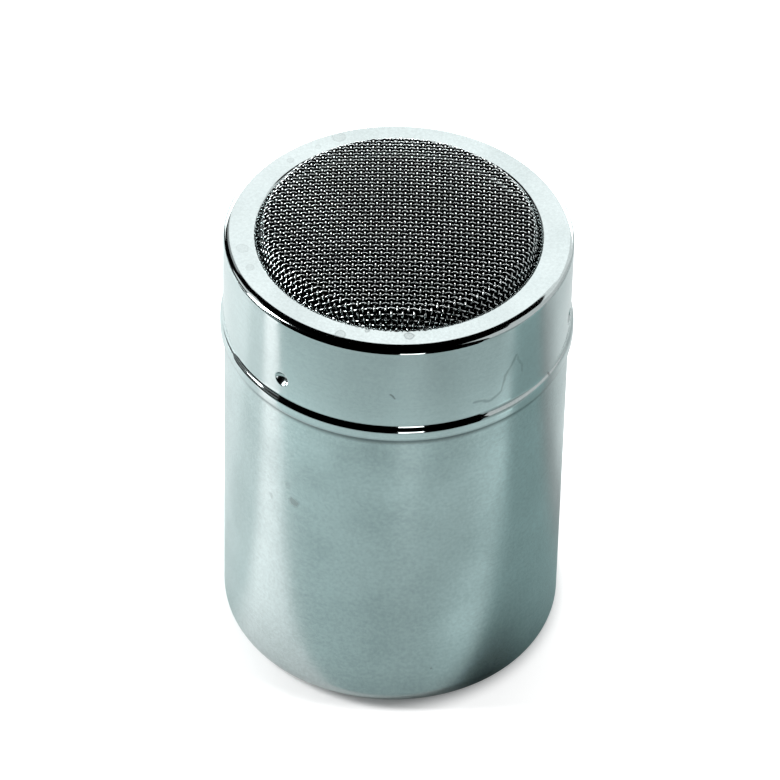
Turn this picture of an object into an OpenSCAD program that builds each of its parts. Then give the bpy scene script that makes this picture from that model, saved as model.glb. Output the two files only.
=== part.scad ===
// Stainless steel shaker for cocoa, icing sugar and ground spice: a deep-drawn canister,
// and a pressed cap with a woven wire dome that turns on and lifts off.
// Millimetres, +Z up. The origin is at the middle of the base, on the table.

/* [Canister] */
// Outer diameter of the straight wall
can_d = 68.2; // [64:0.2:76]
// Height of the straight wall, up to the shoulder
can_h = 75.6; // [60:0.1:110]
// Sheet thickness of the canister
can_sheet = 0.5; // [0.4:0.05:0.6]
// Outside radius of the bend between wall and base
base_bend = 4.6; // [3:0.1:7]
// Diameter of the pressed-up panel in the base
base_panel_d = 46; // [36:1:50]
// Rise of that panel above the table
base_panel_rise = 0.8; // [0.5:0.1:1.5]
// Height of the taper between wall and neck
shoulder_h = 1.2; // [0.9:0.1:2]
// Radius of the curl on the neck's rim
neck_curl = 0.5; // [0.45:0.05:0.7]

/* [Cap] */
// Height of the cap from its lower edge to its flat top
cap_h = 23.2; // [21:0.1:30]
// Sheet thickness of the cap
cap_sheet = 0.5; // [0.4:0.05:0.6]
// How far the skirt stands out past the canister's wall
cap_proud = 0.3; // [0.2:0.05:0.8]
// How far the cap's lower edge reaches down over the canister's wall
cap_lap = 1.4; // [1:0.1:2]
// Outside radius of the corner between top and skirt
cap_bend = 0.85; // [0.7:0.05:1.4]
// Outside radius of the wider curve that leads from the flat top into that corner
cap_brow = 3.6; // [2.4:0.1:5]
// Slope at which the wider curve passes into the corner
cap_brow_angle = 25; // [15:1:35]
// Diameter of the round opening in the flat top
opening_d = 55.2; // [44:0.2:55.4]
// Outside radius of the lip that is turned down round the opening
lip_bend = 1.3; // [1.1:0.05:1.6]
// Height of the rim that is stepped out at the lower edge
rim_h = 2; // [1.6:0.1:3]
// Height of the step between skirt and rim
rim_step_h = 1.7; // [1.4:0.1:2.4]
// Radius of the rounded outer corner of the rim's lower edge
rim_edge = 0.4; // [0.2:0.05:0.45]

/* [Bayonet] */
// Number of dimples in the cap and of channels in the neck
dimple_count = 3; // [2:1:4]
// Depth of a dimple
dimple_depth = 1.05; // [0.8:0.05:1.2]
// Width of a dimple where it meets the skirt
dimple_w = 3; // [2.4:0.1:3.6]
// Drop from the flat top to the middle of the dimples
dimple_drop = 15.3; // [10:0.1:16]
// Direction of the first dimple, counted from +X
dimple_azimuth = 230; // [0:1:360]
// Turn of the cap from the entry slot to the locked end
lock_turn = 28; // [15:1:50]

/* [Woven dome] */
// Thickness of a wire
wire = 0.32; // [0.26:0.02:0.34]
// Distance between neighbouring wires
wire_pitch = 1.1; // [1.1:0.05:2.4]
// Height of the dome's shoulder above the flat top
dome_rise = 2.6; // [2.2:0.1:3]
// Further rise from the shoulder to the middle
dome_crown = 1.8; // [0.5:0.1:3]
// Radius of the shoulder
dome_bend = 1.6; // [1.6:0.1:3]
// Slope of the dome's side wall
dome_wall_angle = 76; // [60:1:76]
// Radius of the bend where the side wall leaves the clamped edge
foot_bend = 0.65; // [0.6:0.05:0.7]

/* [Clamping ring] */
// Thickness of the ring's flange
ring_sheet = 0.6; // [0.5:0.05:0.8]
// Radius of the curl on the ring's inner edge
ring_curl = 0.7; // [0.6:0.05:1]
// How far the ring reaches inwards past the ends of the wires
ring_grip = 1.6; // [1.2:0.1:2]

/* [Clearances] */
// Radial gap between neck and skirt
neck_play = 0.35; // [0.3:0.05:0.6]
// Radial gap between the canister's wall and the cap's rim
rim_play = 0.4; // [0.3:0.05:0.6]
// Gap between the neck's rim and the clamping ring
seat_play = 0.3; // [0.3:0.05:0.6]
// Gap between the clamping ring and the parts that turn past it
ring_play = 0.3; // [0.3:0.05:0.5]
// Gap between the wires and the lower edge of the lip
wire_play = 0.1; // [0.1:0.05:0.3]
// Gap between crossing wires
weave_play = 0.44; // [0.44:0.02:0.52]
// Gap between the dome's wires and the edge of the opening
opening_play = 0.15; // [0.1:0.05:0.4]
// Gap between a dimple and the sides and floor of its channel
dimple_play = 0.45; // [0.35:0.05:0.6]

/* [Hidden] */
$fn = 96;
curl_fn = 32;
steel = [0.72, 0.76, 0.76];
bright_steel = [0.84, 0.87, 0.87];
wire_steel = [0.36, 0.38, 0.38];
cut = 1;

can_r = can_d / 2;
cap_z = can_h - cap_lap;
cap_top = cap_z + cap_h;
cap_r = can_r + cap_proud;
rim_r = can_r + rim_play + cap_sheet;
opening_r = opening_d / 2;
brow_share = (cap_brow - cap_bend) * [sin(cap_brow_angle), cos(cap_brow_angle)];
flat_r = cap_r - cap_bend - brow_share[0];
corner_z = cap_top - cap_brow + brow_share[1];
neck_r = cap_r - cap_sheet - neck_play;

weave_amp = (wire + weave_play) / 2;
weave_half = weave_amp + wire / 2;
under_z = cap_top - lip_bend;
clamp_z = under_z - wire_play - weave_half;
ring_z = clamp_z - weave_half - ring_play - ring_sheet;
neck_top = ring_z - seat_play;
neck_z = can_h + shoulder_h;

dimple_z = cap_top - dimple_drop;
pit_r = (pow(dimple_w / 2, 2) + pow(dimple_depth, 2)) / (2 * dimple_depth);
pit_axis_r = cap_r - dimple_depth + pit_r;
bump_r = pit_r + cap_sheet;
bump_half_w = sqrt(pow(bump_r, 2) - pow(pit_axis_r - neck_r, 2));
channel_r = pit_axis_r - bump_r - dimple_play;
channel_half_w = bump_half_w + dimple_play;
channel_half_angle = channel_half_w / neck_r * 180 / PI;
backing_angle = can_sheet / channel_r * 180 / PI;

// The dome's section, from the clamped edge inwards: a flat, a foot bend, a straight side
// wall through the opening, a shoulder bend and a shallow crown
wall_r = opening_r - (weave_half + opening_play) / sin(dome_wall_angle);
shoulder_axis_z = cap_top + dome_rise - dome_bend;
shoulder_low_z = shoulder_axis_z + dome_bend * cos(dome_wall_angle);
shoulder_low_r = wall_r - (shoulder_low_z - under_z) / tan(dome_wall_angle);
shoulder_axis_r = shoulder_low_r - dome_bend * sin(dome_wall_angle);
crown_angle = atan(2 * dome_crown / shoulder_axis_r);
crown_r = shoulder_axis_r + dome_bend * sin(crown_angle);
crown_z = shoulder_axis_z + dome_bend * cos(crown_angle);
foot_high_z = clamp_z + foot_bend * (1 - cos(dome_wall_angle));
foot_high_r = wall_r + (under_z - foot_high_z) / tan(dome_wall_angle);
foot_axis_r = foot_high_r + foot_bend * sin(dome_wall_angle);

ring_in_r = foot_axis_r;
ring_out_r = cap_r - cap_sheet - ring_play;
wire_end_r = ring_in_r + ring_grip;

// Distances from the axis at which the section turns, and how near to a crossing, as a
// share of the pitch, a wire still takes one
turn_radii = [shoulder_low_r, foot_high_r, foot_axis_r];
turn_gap = 0.12;

// Height of the middle of the weave at a distance from the axis
function dome_z(r) =
    r > foot_axis_r ? clamp_z :
    r > foot_high_r ? clamp_z + foot_bend - sqrt(pow(foot_bend, 2) - pow(foot_axis_r - r, 2)) :
    r > shoulder_low_r ? foot_high_z + (foot_high_r - r) * tan(dome_wall_angle) :
    r > crown_r ? shoulder_axis_z + sqrt(pow(dome_bend, 2) - pow(r - shoulder_axis_r, 2)) :
    crown_z + dome_crown * (1 - pow(r / crown_r, 2));

// Unit normal of a wire's path, in the wire's own upright plane
function path_normal(offset, along, h = 0.01) =
    let (rise = dome_z(norm([offset, along + h])) - dome_z(norm([offset, along - h])))
    [-rise, 2 * h] / norm([rise, 2 * h]);

// Point on a wire where it crosses another: over it (side 1) or under it (side -1)
function crossing(offset, along, side, half_wire) =
    [along, dome_z(norm([offset, along]))]
    + path_normal(offset, along) * (side * weave_amp + half_wire);

// Outline turned round the axis, with a bend at the bottom outside corner
module can_outline(r, bottom_z, bend, top_z) {
    polygon([[0, bottom_z], [r - bend, bottom_z], [r, bottom_z + bend], [r, top_z], [0, top_z]]);
    translate([r - bend, bottom_z + bend]) circle(bend);
}

// Canister wall with its inside at the given inset: straight wall, taper and neck
module can_body(inset, top_z) {
    can_outline(can_r - inset, inset, base_bend - inset, can_h);
    polygon([
        [0, can_h - cut], [can_r - inset, can_h - cut], [can_r - inset, can_h],
        [neck_r - inset, neck_z], [neck_r - inset, top_z], [0, top_z]
    ]);
}

// Panel pressed up in the base
module base_panel(z) {
    panel_r = base_panel_d / 2;
    polygon([
        [0, z - cut], [panel_r + base_panel_rise + cut, z - cut],
        [panel_r, z + base_panel_rise], [0, z + base_panel_rise]
    ]);
}

module can_section() {
    difference() {
        can_body(0, neck_top - neck_curl);
        difference() {
            can_body(can_sheet, neck_top);
            base_panel(can_sheet);
        }
        base_panel(0);
    }
    translate([neck_r - neck_curl, neck_top - neck_curl]) circle(neck_curl, $fn = curl_fn);
}

// Upright wedge with its edge on the axis, between two directions under 90 degrees apart
module wedge(from, to, z_low, z_high) {
    far = 2 * can_r;
    translate([0, 0, z_low]) linear_extrude(z_high - z_low)
        polygon([[0, 0], far * [cos(from), sin(from)], far * [cos(to), sin(to)]]);
}

// Both arms of one bayonet channel, which is seen from outside as an upright slot open at
// the rim and a level run to the locked end; grow adds the sheet that backs them
module channel(r_in, r_out, top_z, grow, grow_angle) {
    half_angle = channel_half_angle + grow_angle;
    foot_z = dimple_z - channel_half_w - grow;
    intersection() {
        difference() {
            cylinder(r = r_out, h = top_z);
            translate([0, 0, -cut]) cylinder(r = r_in, h = top_z + 2 * cut);
        }
        union() {
            wedge(-half_angle, half_angle, foot_z, top_z + cut);
            wedge(-lock_turn - half_angle, half_angle,
                foot_z, dimple_z + channel_half_w + grow);
        }
    }
}

module each_dimple() {
    for (i = [0 : dimple_count - 1])
        rotate([0, 0, dimple_azimuth + i * 360 / dimple_count]) children();
}

module canister() {
    color(steel)
        difference() {
            union() {
                rotate_extrude() can_section();
                each_dimple()
                    channel(channel_r - can_sheet, neck_r - can_sheet / 2,
                        neck_top - neck_curl, can_sheet, backing_angle);
            }
            each_dimple() channel(channel_r, neck_r + cut, neck_top + cut, 0, 0);
        }
}

// Solid outline of the cap, or of its hollow when inset by the sheet
module cap_body(inset, low_z) {
    step_low_z = cap_z + rim_h;
    step_high_z = step_low_z + rim_step_h;
    step_w = rim_r - cap_r;
    step_angle = 2 * atan(step_w / rim_step_h);
    step_bend = rim_step_h / 2 / sin(step_angle);
    brow = cap_brow - inset;
    bend = cap_bend - inset;
    brow_out = brow * tan(cap_brow_angle);
    difference() {
        polygon([
            [0, low_z], [rim_r - inset, low_z], [rim_r - inset, step_low_z],
            [cap_r - inset, step_high_z], [cap_r - inset, corner_z],
            [flat_r + brow_share[0], corner_z], [flat_r, cap_top - inset], [0, cap_top - inset]
        ]);
        translate([cap_r + step_bend, step_high_z])
            circle(step_bend + inset);
    }
    translate([rim_r - step_bend, step_low_z]) intersection() {
        circle(step_bend - inset);
        square([step_bend, step_bend * sin(step_angle)]);
    }
    translate([flat_r + brow_share[0], corner_z]) circle(bend);
    translate([flat_r, cap_top - cap_brow]) intersection() {
        circle(brow);
        polygon([[0, 0], [0, 2 * brow], [2 * brow_out, 2 * brow]]);
    }
}

module cap_section() {
    lip_r = opening_r + lip_bend;
    difference() {
        cap_body(0, cap_z);
        cap_body(cap_sheet, cap_z - cut);
        translate([0, cap_z]) square([lip_r, cap_h + cut]);
        translate([rim_r - rim_edge, cap_z]) difference() {
            translate([0, -cut]) square([rim_edge + cut, rim_edge + cut]);
            translate([0, rim_edge]) circle(rim_edge, $fn = curl_fn);
        }
    }
    translate([lip_r, under_z]) difference() {
        intersection() {
            circle(lip_bend);
            translate([-lip_bend, 0]) square(lip_bend);
        }
        circle(lip_bend - cap_sheet);
    }
}

module cap() {
    color(bright_steel)
        difference() {
            union() {
                rotate_extrude() cap_section();
                intersection() {
                    each_dimple() translate([pit_axis_r, 0, dimple_z]) sphere(bump_r);
                    cylinder(r = cap_r - cap_sheet / 2, h = cap_top);
                }
            }
            each_dimple() translate([pit_axis_r, 0, dimple_z]) sphere(pit_r);
        }
}

module clamping_ring() {
    color(steel)
        rotate_extrude() {
            translate([ring_in_r + ring_curl, ring_z])
                square([ring_out_r - ring_in_r - ring_curl, ring_sheet]);
            translate([ring_in_r + ring_curl, ring_z + ring_sheet - ring_curl])
                circle(ring_curl, $fn = curl_fn);
        }
}

// Places along one half of a wire from its middle, each with its side: every crossing with
// another wire, and between them the turns of the dome's section
function half_path(index, reach, phase) = [
    for (j = [0 : reach])
        let (side = 2 * ((abs(index) + j + phase) % 2) - 1)
        each concat([[j * wire_pitch, side]], [
            for (r = turn_radii)
                let (share = sqrt(max(0, pow(r, 2) - pow(index * wire_pitch, 2)))
                    / wire_pitch - j)
                if (j < reach && share > turn_gap && share < 1 - turn_gap)
                    [(j + share) * wire_pitch, side * (1 - 2 * share)]
        ])
];

// One wire in the upright plane at an offset from the axis; phase says where it goes over
module wire_at(index, phase) {
    offset = index * wire_pitch;
    reach = floor(sqrt(pow(wire_end_r, 2) - pow(offset, 2)) / wire_pitch);
    half = half_path(index, reach, phase);
    last = len(half) - 1;
    path = concat([for (k = [last : -1 : 1]) [-half[k][0], half[k][1]]], half);
    upper = [for (p = path) crossing(offset, p[0], p[1], wire / 2)];
    lower = [for (k = [2 * last : -1 : 0]) crossing(offset, path[k][0], path[k][1], -wire / 2)];
    translate([offset - wire / 2, 0, 0])
        rotate([90, 0, 90]) linear_extrude(wire) polygon(concat(upper, lower));
}

// All the wires that run along Y, each cut off where the clamping ring holds it
module parallel_wires(phase) {
    last = floor(sqrt(pow(wire_end_r, 2) - pow(wire_pitch, 2)) / wire_pitch);
    for (index = [-last : last])
        wire_at(index, phase);
}

module warp_wires() {
    color(wire_steel) parallel_wires(0);
}

module weft_wires() {
    color(wire_steel) mirror([1, -1, 0]) parallel_wires(1);
}

canister();
cap();
clamping_ring();
warp_wires();
weft_wires();
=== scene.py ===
"""Mesh-top spice shaker: its surfaces, finishes, studio light and camera.

A drawn canister with a bayonet neck, a pressed cap over it, a clamping ring and a woven
wire dome. +Z is up and the origin is at the middle of the base. Sizes in the classes are
in millimetres and every mesh is in metres.
"""

import logging
import math
from dataclasses import dataclass
from enum import Enum
from typing import Sequence

import bpy
import numpy as np
from mathutils import Matrix, Vector


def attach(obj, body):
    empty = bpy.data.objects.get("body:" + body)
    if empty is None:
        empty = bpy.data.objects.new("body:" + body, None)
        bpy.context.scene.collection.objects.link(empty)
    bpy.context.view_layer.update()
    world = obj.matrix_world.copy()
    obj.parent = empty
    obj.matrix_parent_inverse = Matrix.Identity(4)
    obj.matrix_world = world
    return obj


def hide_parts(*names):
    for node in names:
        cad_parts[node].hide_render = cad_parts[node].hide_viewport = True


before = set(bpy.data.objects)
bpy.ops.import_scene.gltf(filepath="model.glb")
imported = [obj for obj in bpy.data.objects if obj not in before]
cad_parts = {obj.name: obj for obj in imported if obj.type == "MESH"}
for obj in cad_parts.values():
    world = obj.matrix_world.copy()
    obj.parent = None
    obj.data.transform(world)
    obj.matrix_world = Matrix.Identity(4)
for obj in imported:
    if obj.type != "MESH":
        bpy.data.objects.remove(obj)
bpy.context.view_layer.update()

MM = 0.001
TINY = 1e-9
MARK = "mark"
# Share of its radius that a bend takes, so that a short run is left next to it.
CURL_FILL = 0.98
BEND_FILL = 0.999
LOG = logging.getLogger("shaker")
Colour = tuple[float, float, float]
Point = tuple[float, float, float]
Mesh = bpy.types.Mesh
Material = bpy.types.Material
Socket = bpy.types.NodeSocket
WHITE: Colour = (1.0, 1.0, 1.0)
BLACK: Colour = (0.02, 0.02, 0.02)


class Body(Enum):
    """Bodies that the pieces ride on."""

    CANISTER = "canister"
    CLAMP = "clamp"
    CAP = "cap"


class Slot(Enum):
    """Material slots of the record."""

    CANISTER = "canister_steel"
    CAP = "cap_steel"
    RING = "ring_steel"
    WIRE = "wire_steel"


# --- Outlines and surfaces -------------------------------------------------------------


@dataclass(frozen=True)
class Corner:
    """Corner of an outline in the upright half plane.

    Attributes:
        r: Distance from the axis.
        z: Height.
        fillet: Radius that rounds the corner, or 0 for an end of the outline.
        spacing: Greatest distance between points on the run that follows.
    """

    r: float
    z: float
    fillet: float = 0.0
    spacing: float = 12.0


class Outline:
    """Outline of a sheet metal section, rounded at its corners.

    It runs anticlockwise round the metal, with r to the right and z up.
    """

    # Distance of a holding point from its bend, and the least distance of two points.
    HOLD = 0.05
    SAME = 1e-6
    # Radius above which a bend is stepped finely, and both steps in degrees.
    LARGE_BEND = 0.9
    FINE_STEP = 4.0
    COARSE_STEP = 18.0

    def __init__(self, corners: Sequence[Corner], closed: bool) -> None:
        """Keep the corners.

        Args:
            corners: Corners in order.
            closed: Whether the last corner joins the first.
        """
        self.corners = list(corners)
        self.closed = closed

    def _bend(self, index: int) -> np.ndarray:
        """Round one corner.

        The centre lies on the bisector of the two runs, radius / sin(half angle) from
        the corner, and the points are centre + radius (cos a, sin a) as a sweeps from
        one tangent point to the other.

        Args:
            index: Which corner.

        Returns:
            Points of the bend, from tangent point to tangent point.
        """
        corner = self.corners[index]
        here = np.array((corner.r, corner.z))
        if corner.fillet == 0.0:
            return here[None]
        before = self.corners[index - 1]
        after = self.corners[(index + 1) % len(self.corners)]
        back = np.array((before.r, before.z)) - here
        ahead = np.array((after.r, after.z)) - here
        back /= np.hypot(*back)
        ahead /= np.hypot(*ahead)
        half = 0.5 * math.acos(np.clip(back @ ahead, -1.0, 1.0))
        middle = back + ahead
        centre = here + middle / np.hypot(*middle) * corner.fillet / math.sin(half)
        reach = corner.fillet / math.tan(half)
        start = here + back * reach - centre
        end = here + ahead * reach - centre
        first = math.atan2(start[1], start[0])
        sweep = (math.atan2(end[1], end[0]) - first + math.pi) % (2 * math.pi) - math.pi
        step = self.FINE_STEP if corner.fillet > self.LARGE_BEND else self.COARSE_STEP
        count = max(3, math.ceil(abs(math.degrees(sweep)) / step))
        angle = first + sweep * np.linspace(0.0, 1.0, count + 1)
        return centre + corner.fillet * np.column_stack((np.cos(angle), np.sin(angle)))

    def _run(self, start: np.ndarray, end: np.ndarray, spacing: float) -> np.ndarray:
        """Fill a straight run, with a holding point close to each of its ends.

        The points are start + t (end - start).

        Args:
            start: Where the run starts.
            end: Where it ends.
            spacing: Greatest distance between points.

        Returns:
            Points between the two ends, without them.
        """
        length = float(np.hypot(*(end - start)))
        if length < 3 * self.HOLD:
            return np.empty((0, 2))
        hold = self.HOLD / length
        count = max(2, math.ceil(length / spacing) + 1)
        share = np.linspace(hold, 1.0 - hold, count)[:, None]
        return start + share * (end - start)

    def trace(self) -> np.ndarray:
        """Trace the whole outline.

        Returns:
            Points (n, 2) as radius and height.
        """
        bends = [self._bend(index) for index in range(len(self.corners))]
        pieces: list[np.ndarray] = []
        for index, bend in enumerate(bends):
            pieces.append(bend)
            if index + 1 < len(bends) or self.closed:
                follow = bends[(index + 1) % len(bends)]
                pieces.append(self._run(bend[-1], follow[0], self.corners[index].spacing))
        points = np.concatenate(pieces)
        step = np.hypot(*(points - np.roll(points, 1, axis=0)).T)
        return points[step > self.SAME]


def crowded_angles(count: int, centres: Sequence[float], half_width: float,
                   crowding: float) -> np.ndarray:
    """Spread directions round the axis, closer together near the given ones.

    The number of directions per degree is 1 + crowding / (1 + (distance / half width)^8),
    and its running sum is inverted at even steps.

    Args:
        count: How many directions.
        centres: Directions in degrees that need more.
        half_width: Degrees to each side of them.
        crowding: How many times more are added there.

    Returns:
        Directions in radians, in rising order.
    """
    per_degree = 20
    fine = np.linspace(0.0, 360.0, 360 * per_degree + 1)
    density = np.ones_like(fine)
    for centre in centres:
        distance = np.abs((fine - centre + 180.0) % 360.0 - 180.0)
        density += crowding / (1.0 + (distance / half_width) ** 8)
    total = np.concatenate(([0.0], np.cumsum(0.5 * (density[1:] + density[:-1]))))
    even = np.linspace(0.0, total[-1], count, endpoint=False)
    return np.radians(np.interp(even, total, fine))


def smoothstep(low: float, high: float, value: np.ndarray) -> np.ndarray:
    """Return t * t * (3 - 2 t), with t the place of value between low and high."""
    share = np.clip((value - low) / (high - low), 0.0, 1.0)
    return share * share * (3.0 - 2.0 * share)


def mesh_from_faces(name: str, points: np.ndarray, faces: list[list[int]],
                    marks: np.ndarray | None = None) -> Mesh:
    """Make a smooth-shaded mesh.

    Args:
        name: Name of the mesh.
        points: Vertices (n, 3) in millimetres.
        faces: Vertex numbers of each face, anticlockwise seen from outside.
        marks: One number per vertex that the finish reads.

    Returns:
        The mesh, in metres.
    """
    mesh = bpy.data.meshes.new(name)
    mesh.from_pydata((points * MM).tolist(), [], faces)
    mesh.polygons.foreach_set("use_smooth", np.ones(len(mesh.polygons), dtype=bool))
    if marks is not None:
        layer = mesh.attributes.new(MARK, "FLOAT", "POINT")
        layer.data.foreach_set("value", marks.astype(np.float32))
    mesh.update()
    return mesh


def grid_faces(rows: int, columns: int, rows_close: bool,
               columns_close: bool = True) -> np.ndarray:
    """Number the quads of a surface laid out on a grid.

    Quad (i, j) joins (i, j), (i, j + 1), (i + 1, j + 1) and (i + 1, j), with i and j
    counted round where the grid closes on itself.

    Args:
        rows: Number of rows.
        columns: Number of columns.
        rows_close: Whether the first row follows the last.
        columns_close: Whether the first column follows the last.

    Returns:
        Vertex numbers (quads, 4).
    """
    i, j = np.meshgrid(np.arange(rows if rows_close else rows - 1),
                       np.arange(columns if columns_close else columns - 1),
                       indexing="ij")
    up, on = (i + 1) % rows, (j + 1) % columns
    quads = (i * columns + j, i * columns + on, up * columns + on, up * columns + j)
    return np.stack(quads, axis=-1).reshape(-1, 4)


def turn_outline(outline: np.ndarray, angles: np.ndarray) -> np.ndarray:
    """Turn an outline round the axis: x = r cos a, y = r sin a, z = z.

    Args:
        outline: Radius and height, (rows, 2), or (rows, columns, 2) where they change
            with the direction.
        angles: Directions in radians.

    Returns:
        Points (rows, columns, 3).
    """
    if outline.ndim == 2:
        outline = np.repeat(outline[:, None], len(angles), axis=1)
    radius, height = outline[..., 0], outline[..., 1]
    return np.stack((radius * np.cos(angles), radius * np.sin(angles), height), axis=-1)


def sheet_shell(name: str, surface: np.ndarray, closed: bool, inside: np.ndarray) -> Mesh:
    """Make the closed skin of a turned sheet metal part.

    An open outline starts and ends on the axis, where its end rows shrink to one point
    each and are joined to the next row by triangles.

    Args:
        name: Name of the mesh.
        surface: Points (rows, columns, 3).
        closed: Whether the outline closes on itself.
        inside: One number per row, 1 on inner walls.

    Returns:
        The mesh.
    """
    rows, columns = surface.shape[:2]
    if closed:
        faces = grid_faces(rows, columns, True).tolist()
        return mesh_from_faces(name, surface.reshape(-1, 3), faces,
                               np.repeat(inside, columns))
    body = surface[1:-1]
    faces = grid_faces(rows - 2, columns, False).tolist()
    points = np.concatenate((body.reshape(-1, 3), surface[:1, 0], surface[-1:, 0]))
    ring = np.arange(columns)
    last = (rows - 3) * columns
    low = np.full(columns, len(points) - 2)
    high = np.full(columns, len(points) - 1)
    faces += np.column_stack((low, np.roll(ring, -1), ring)).tolist()
    faces += np.column_stack((last + ring, last + np.roll(ring, -1), high)).tolist()
    marks = np.concatenate((np.repeat(inside[1:-1], columns), inside[:1], inside[-1:]))
    return mesh_from_faces(name, points, faces, marks)


def link_object(name: str, data: bpy.types.ID) -> bpy.types.Object:
    """Put new data into the scene.

    Args:
        name: Name of the object.
        data: Its mesh, lamp or camera.

    Returns:
        The object.
    """
    made = bpy.data.objects.new(name, data)
    bpy.context.scene.collection.objects.link(made)
    return made


def add_piece(name: str, mesh: Mesh, finish: Material, body: Body, slot: Slot,
              *nodes: str) -> None:
    """Put a piece into the scene in place of the solids that it stands for.

    Args:
        name: Name of the piece.
        mesh: Its mesh, already in place.
        finish: Its material.
        body: The body that it rides on.
        slot: The material slot of the record; not used.
        *nodes: Nodes that it replaces.
    """
    mesh.materials.append(finish)
    piece = link_object(name, mesh)
    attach(piece, body.value)
    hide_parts(*nodes)
    LOG.info("%s: %d vertices, %d faces, on %s", name, len(mesh.vertices),
             len(mesh.polygons), body.value)


# --- Finishes --------------------------------------------------------------------------


def metres(point: Point) -> Point:
    """Return a point given in millimetres, in metres."""
    return tuple(MM * value for value in point)


class Bench:
    """Bench on which one node tree is laid out."""

    def __init__(self, owner: Material | bpy.types.World) -> None:
        """Start with an empty tree.

        Args:
            owner: The new material or world that the tree belongs to.
        """
        self.owner = owner
        owner.use_nodes = True
        self.tree = owner.node_tree
        self.tree.nodes.clear()

    def node(self, kind: str, inputs: dict | None = None,
             **settings: object) -> bpy.types.Node:
        """Add a node.

        Args:
            kind: Its type, without the word ShaderNode.
            inputs: Values or sockets for its inputs, by name or number.
            **settings: Its own settings.

        Returns:
            The node.
        """
        made = self.tree.nodes.new("ShaderNode" + kind)
        for key, value in settings.items():
            setattr(made, key, value)
        for key, value in (inputs or {}).items():
            self.feed(made.inputs[key], value)
        return made

    def feed(self, socket: Socket, value: object) -> None:
        """Link a socket to an input, or set its value.

        Args:
            socket: The input.
            value: An output to link, or a plain value.
        """
        if isinstance(value, Socket):
            self.tree.links.new(value, socket)
        else:
            socket.default_value = value

    def object_place(self) -> Socket:
        """Return the place on the object, in metres."""
        return self.node("TexCoord").outputs["Object"]

    def math(self, operation: str, first: object, second: object = 0.0,
             third: object = 0.0, clamp: bool = False) -> Socket:
        """Return the result of a sum on up to three values."""
        inputs = {0: first, 1: second, 2: third}
        return self.node("Math", inputs, operation=operation, use_clamp=clamp).outputs[0]

    def vector(self, operation: str, first: object, second: object) -> Socket:
        """Work out a sum on two vectors.

        Args:
            operation: The sum, as the node names it.
            first: The first vector.
            second: The second one, or the factor that scales the first.

        Returns:
            The vector, or the number that a distance or a dot product gives.
        """
        key = "Scale" if operation == "SCALE" else 1
        made = self.node("VectorMath", {0: first, key: second}, operation=operation)
        plain = operation in ("DISTANCE", "DOT_PRODUCT")
        return made.outputs["Value" if plain else "Vector"]

    def noise(self, place: object, scale: float, detail: float = 2.0,
              roughness: float = 0.5, colour: bool = False) -> Socket:
        """Lay out noise.

        Args:
            place: Where it is read.
            scale: Waves per metre.
            detail: How many finer waves are added to them.
            roughness: How strong the finer ones are.
            colour: Whether three channels are wanted in place of one.

        Returns:
            The noise, between 0 and 1.
        """
        made = self.node("TexNoise", {"Vector": place, "Scale": scale, "Detail": detail,
                                      "Roughness": roughness})
        return made.outputs["Color" if colour else "Fac"]

    def ramp(self, value: object, low: float, high: float, to_low: float = 0.0,
             to_high: float = 1.0) -> Socket:
        """Carry a value smoothly from one range to another.

        Args:
            value: The value.
            low: Where the first range starts.
            high: Where it ends.
            to_low: What is given at and before its start.
            to_high: What is given at and after its end.

        Returns:
            The value in the second range.
        """
        made = self.node("MapRange", {"Value": value, "From Min": low, "From Max": high,
                                      "To Min": to_low, "To Max": to_high},
                         interpolation_type="SMOOTHSTEP")
        return made.outputs["Result"]

    def blend(self, share: object, first: object, second: object) -> Socket:
        """Mix two colours.

        Args:
            share: Share of the second one.
            first: The first colour.
            second: The second one.

        Returns:
            The mixed colour.
        """
        inputs = {"Factor": share, 6: self.rgba(first), 7: self.rgba(second)}
        return self.node("Mix", inputs, data_type="RGBA").outputs[2]

    def shifted(self, place: object, scale: float, amount: float) -> Socket:
        """Move a place about by coloured noise.

        Args:
            place: The place.
            scale: Waves per metre.
            amount: Twice the furthest that each coordinate moves, in metres.

        Returns:
            The moved place.
        """
        wander = self.vector("SUBTRACT", self.noise(place, scale, 3.0, colour=True),
                             (0.5, 0.5, 0.5))
        return self.vector("ADD", place,
                           self.vector("MULTIPLY", wander, (amount, amount, amount)))

    def glow(self, level: object) -> Socket:
        """Return plain white light of the given level."""
        inputs = {"Color": self.rgba(WHITE), "Strength": level}
        return self.node("Emission", inputs).outputs["Emission"]

    @staticmethod
    def rgba(colour: object) -> object:
        """Return a plain colour with its alpha, and a socket as it is."""
        return (*colour, 1.0) if isinstance(colour, tuple) else colour


def metal_shader(bench: Bench, colour: Socket, rough: Socket, relief: Socket,
                 depth: float, strength: float) -> bpy.types.Node:
    """Finish a bench with bare metal.

    Args:
        bench: Where the nodes go.
        colour: Colour of the metal.
        rough: Its roughness.
        relief: Height of its relief, from 0 to 1.
        depth: Depth of the relief in metres.
        strength: How strongly the relief turns the light, up to 1.

    Returns:
        The shader.
    """
    bump = bench.node("Bump", {"Height": relief, "Distance": depth, "Strength": strength})
    shader = bench.node("BsdfPrincipled", {
        "Base Color": colour, "Metallic": 1.0, "Roughness": rough,
        "Normal": bump.outputs["Normal"]})
    bench.node("OutputMaterial", {"Surface": shader.outputs["BSDF"]})
    return shader


@dataclass(frozen=True)
class Spot:
    """Round mark: a dried drop, with a ring where minerals settled, or a smudge.

    Attributes:
        place: Its middle, in millimetres.
        size: Its radius.
        strength: How much it shows, up to 1.
    """

    place: Point
    size: float
    strength: float

    def away(self, bench: Bench, place: Socket) -> Socket:
        """Return the distance of a place from the middle, in metres."""
        return bench.vector("DISTANCE", place, metres(self.place))


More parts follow.
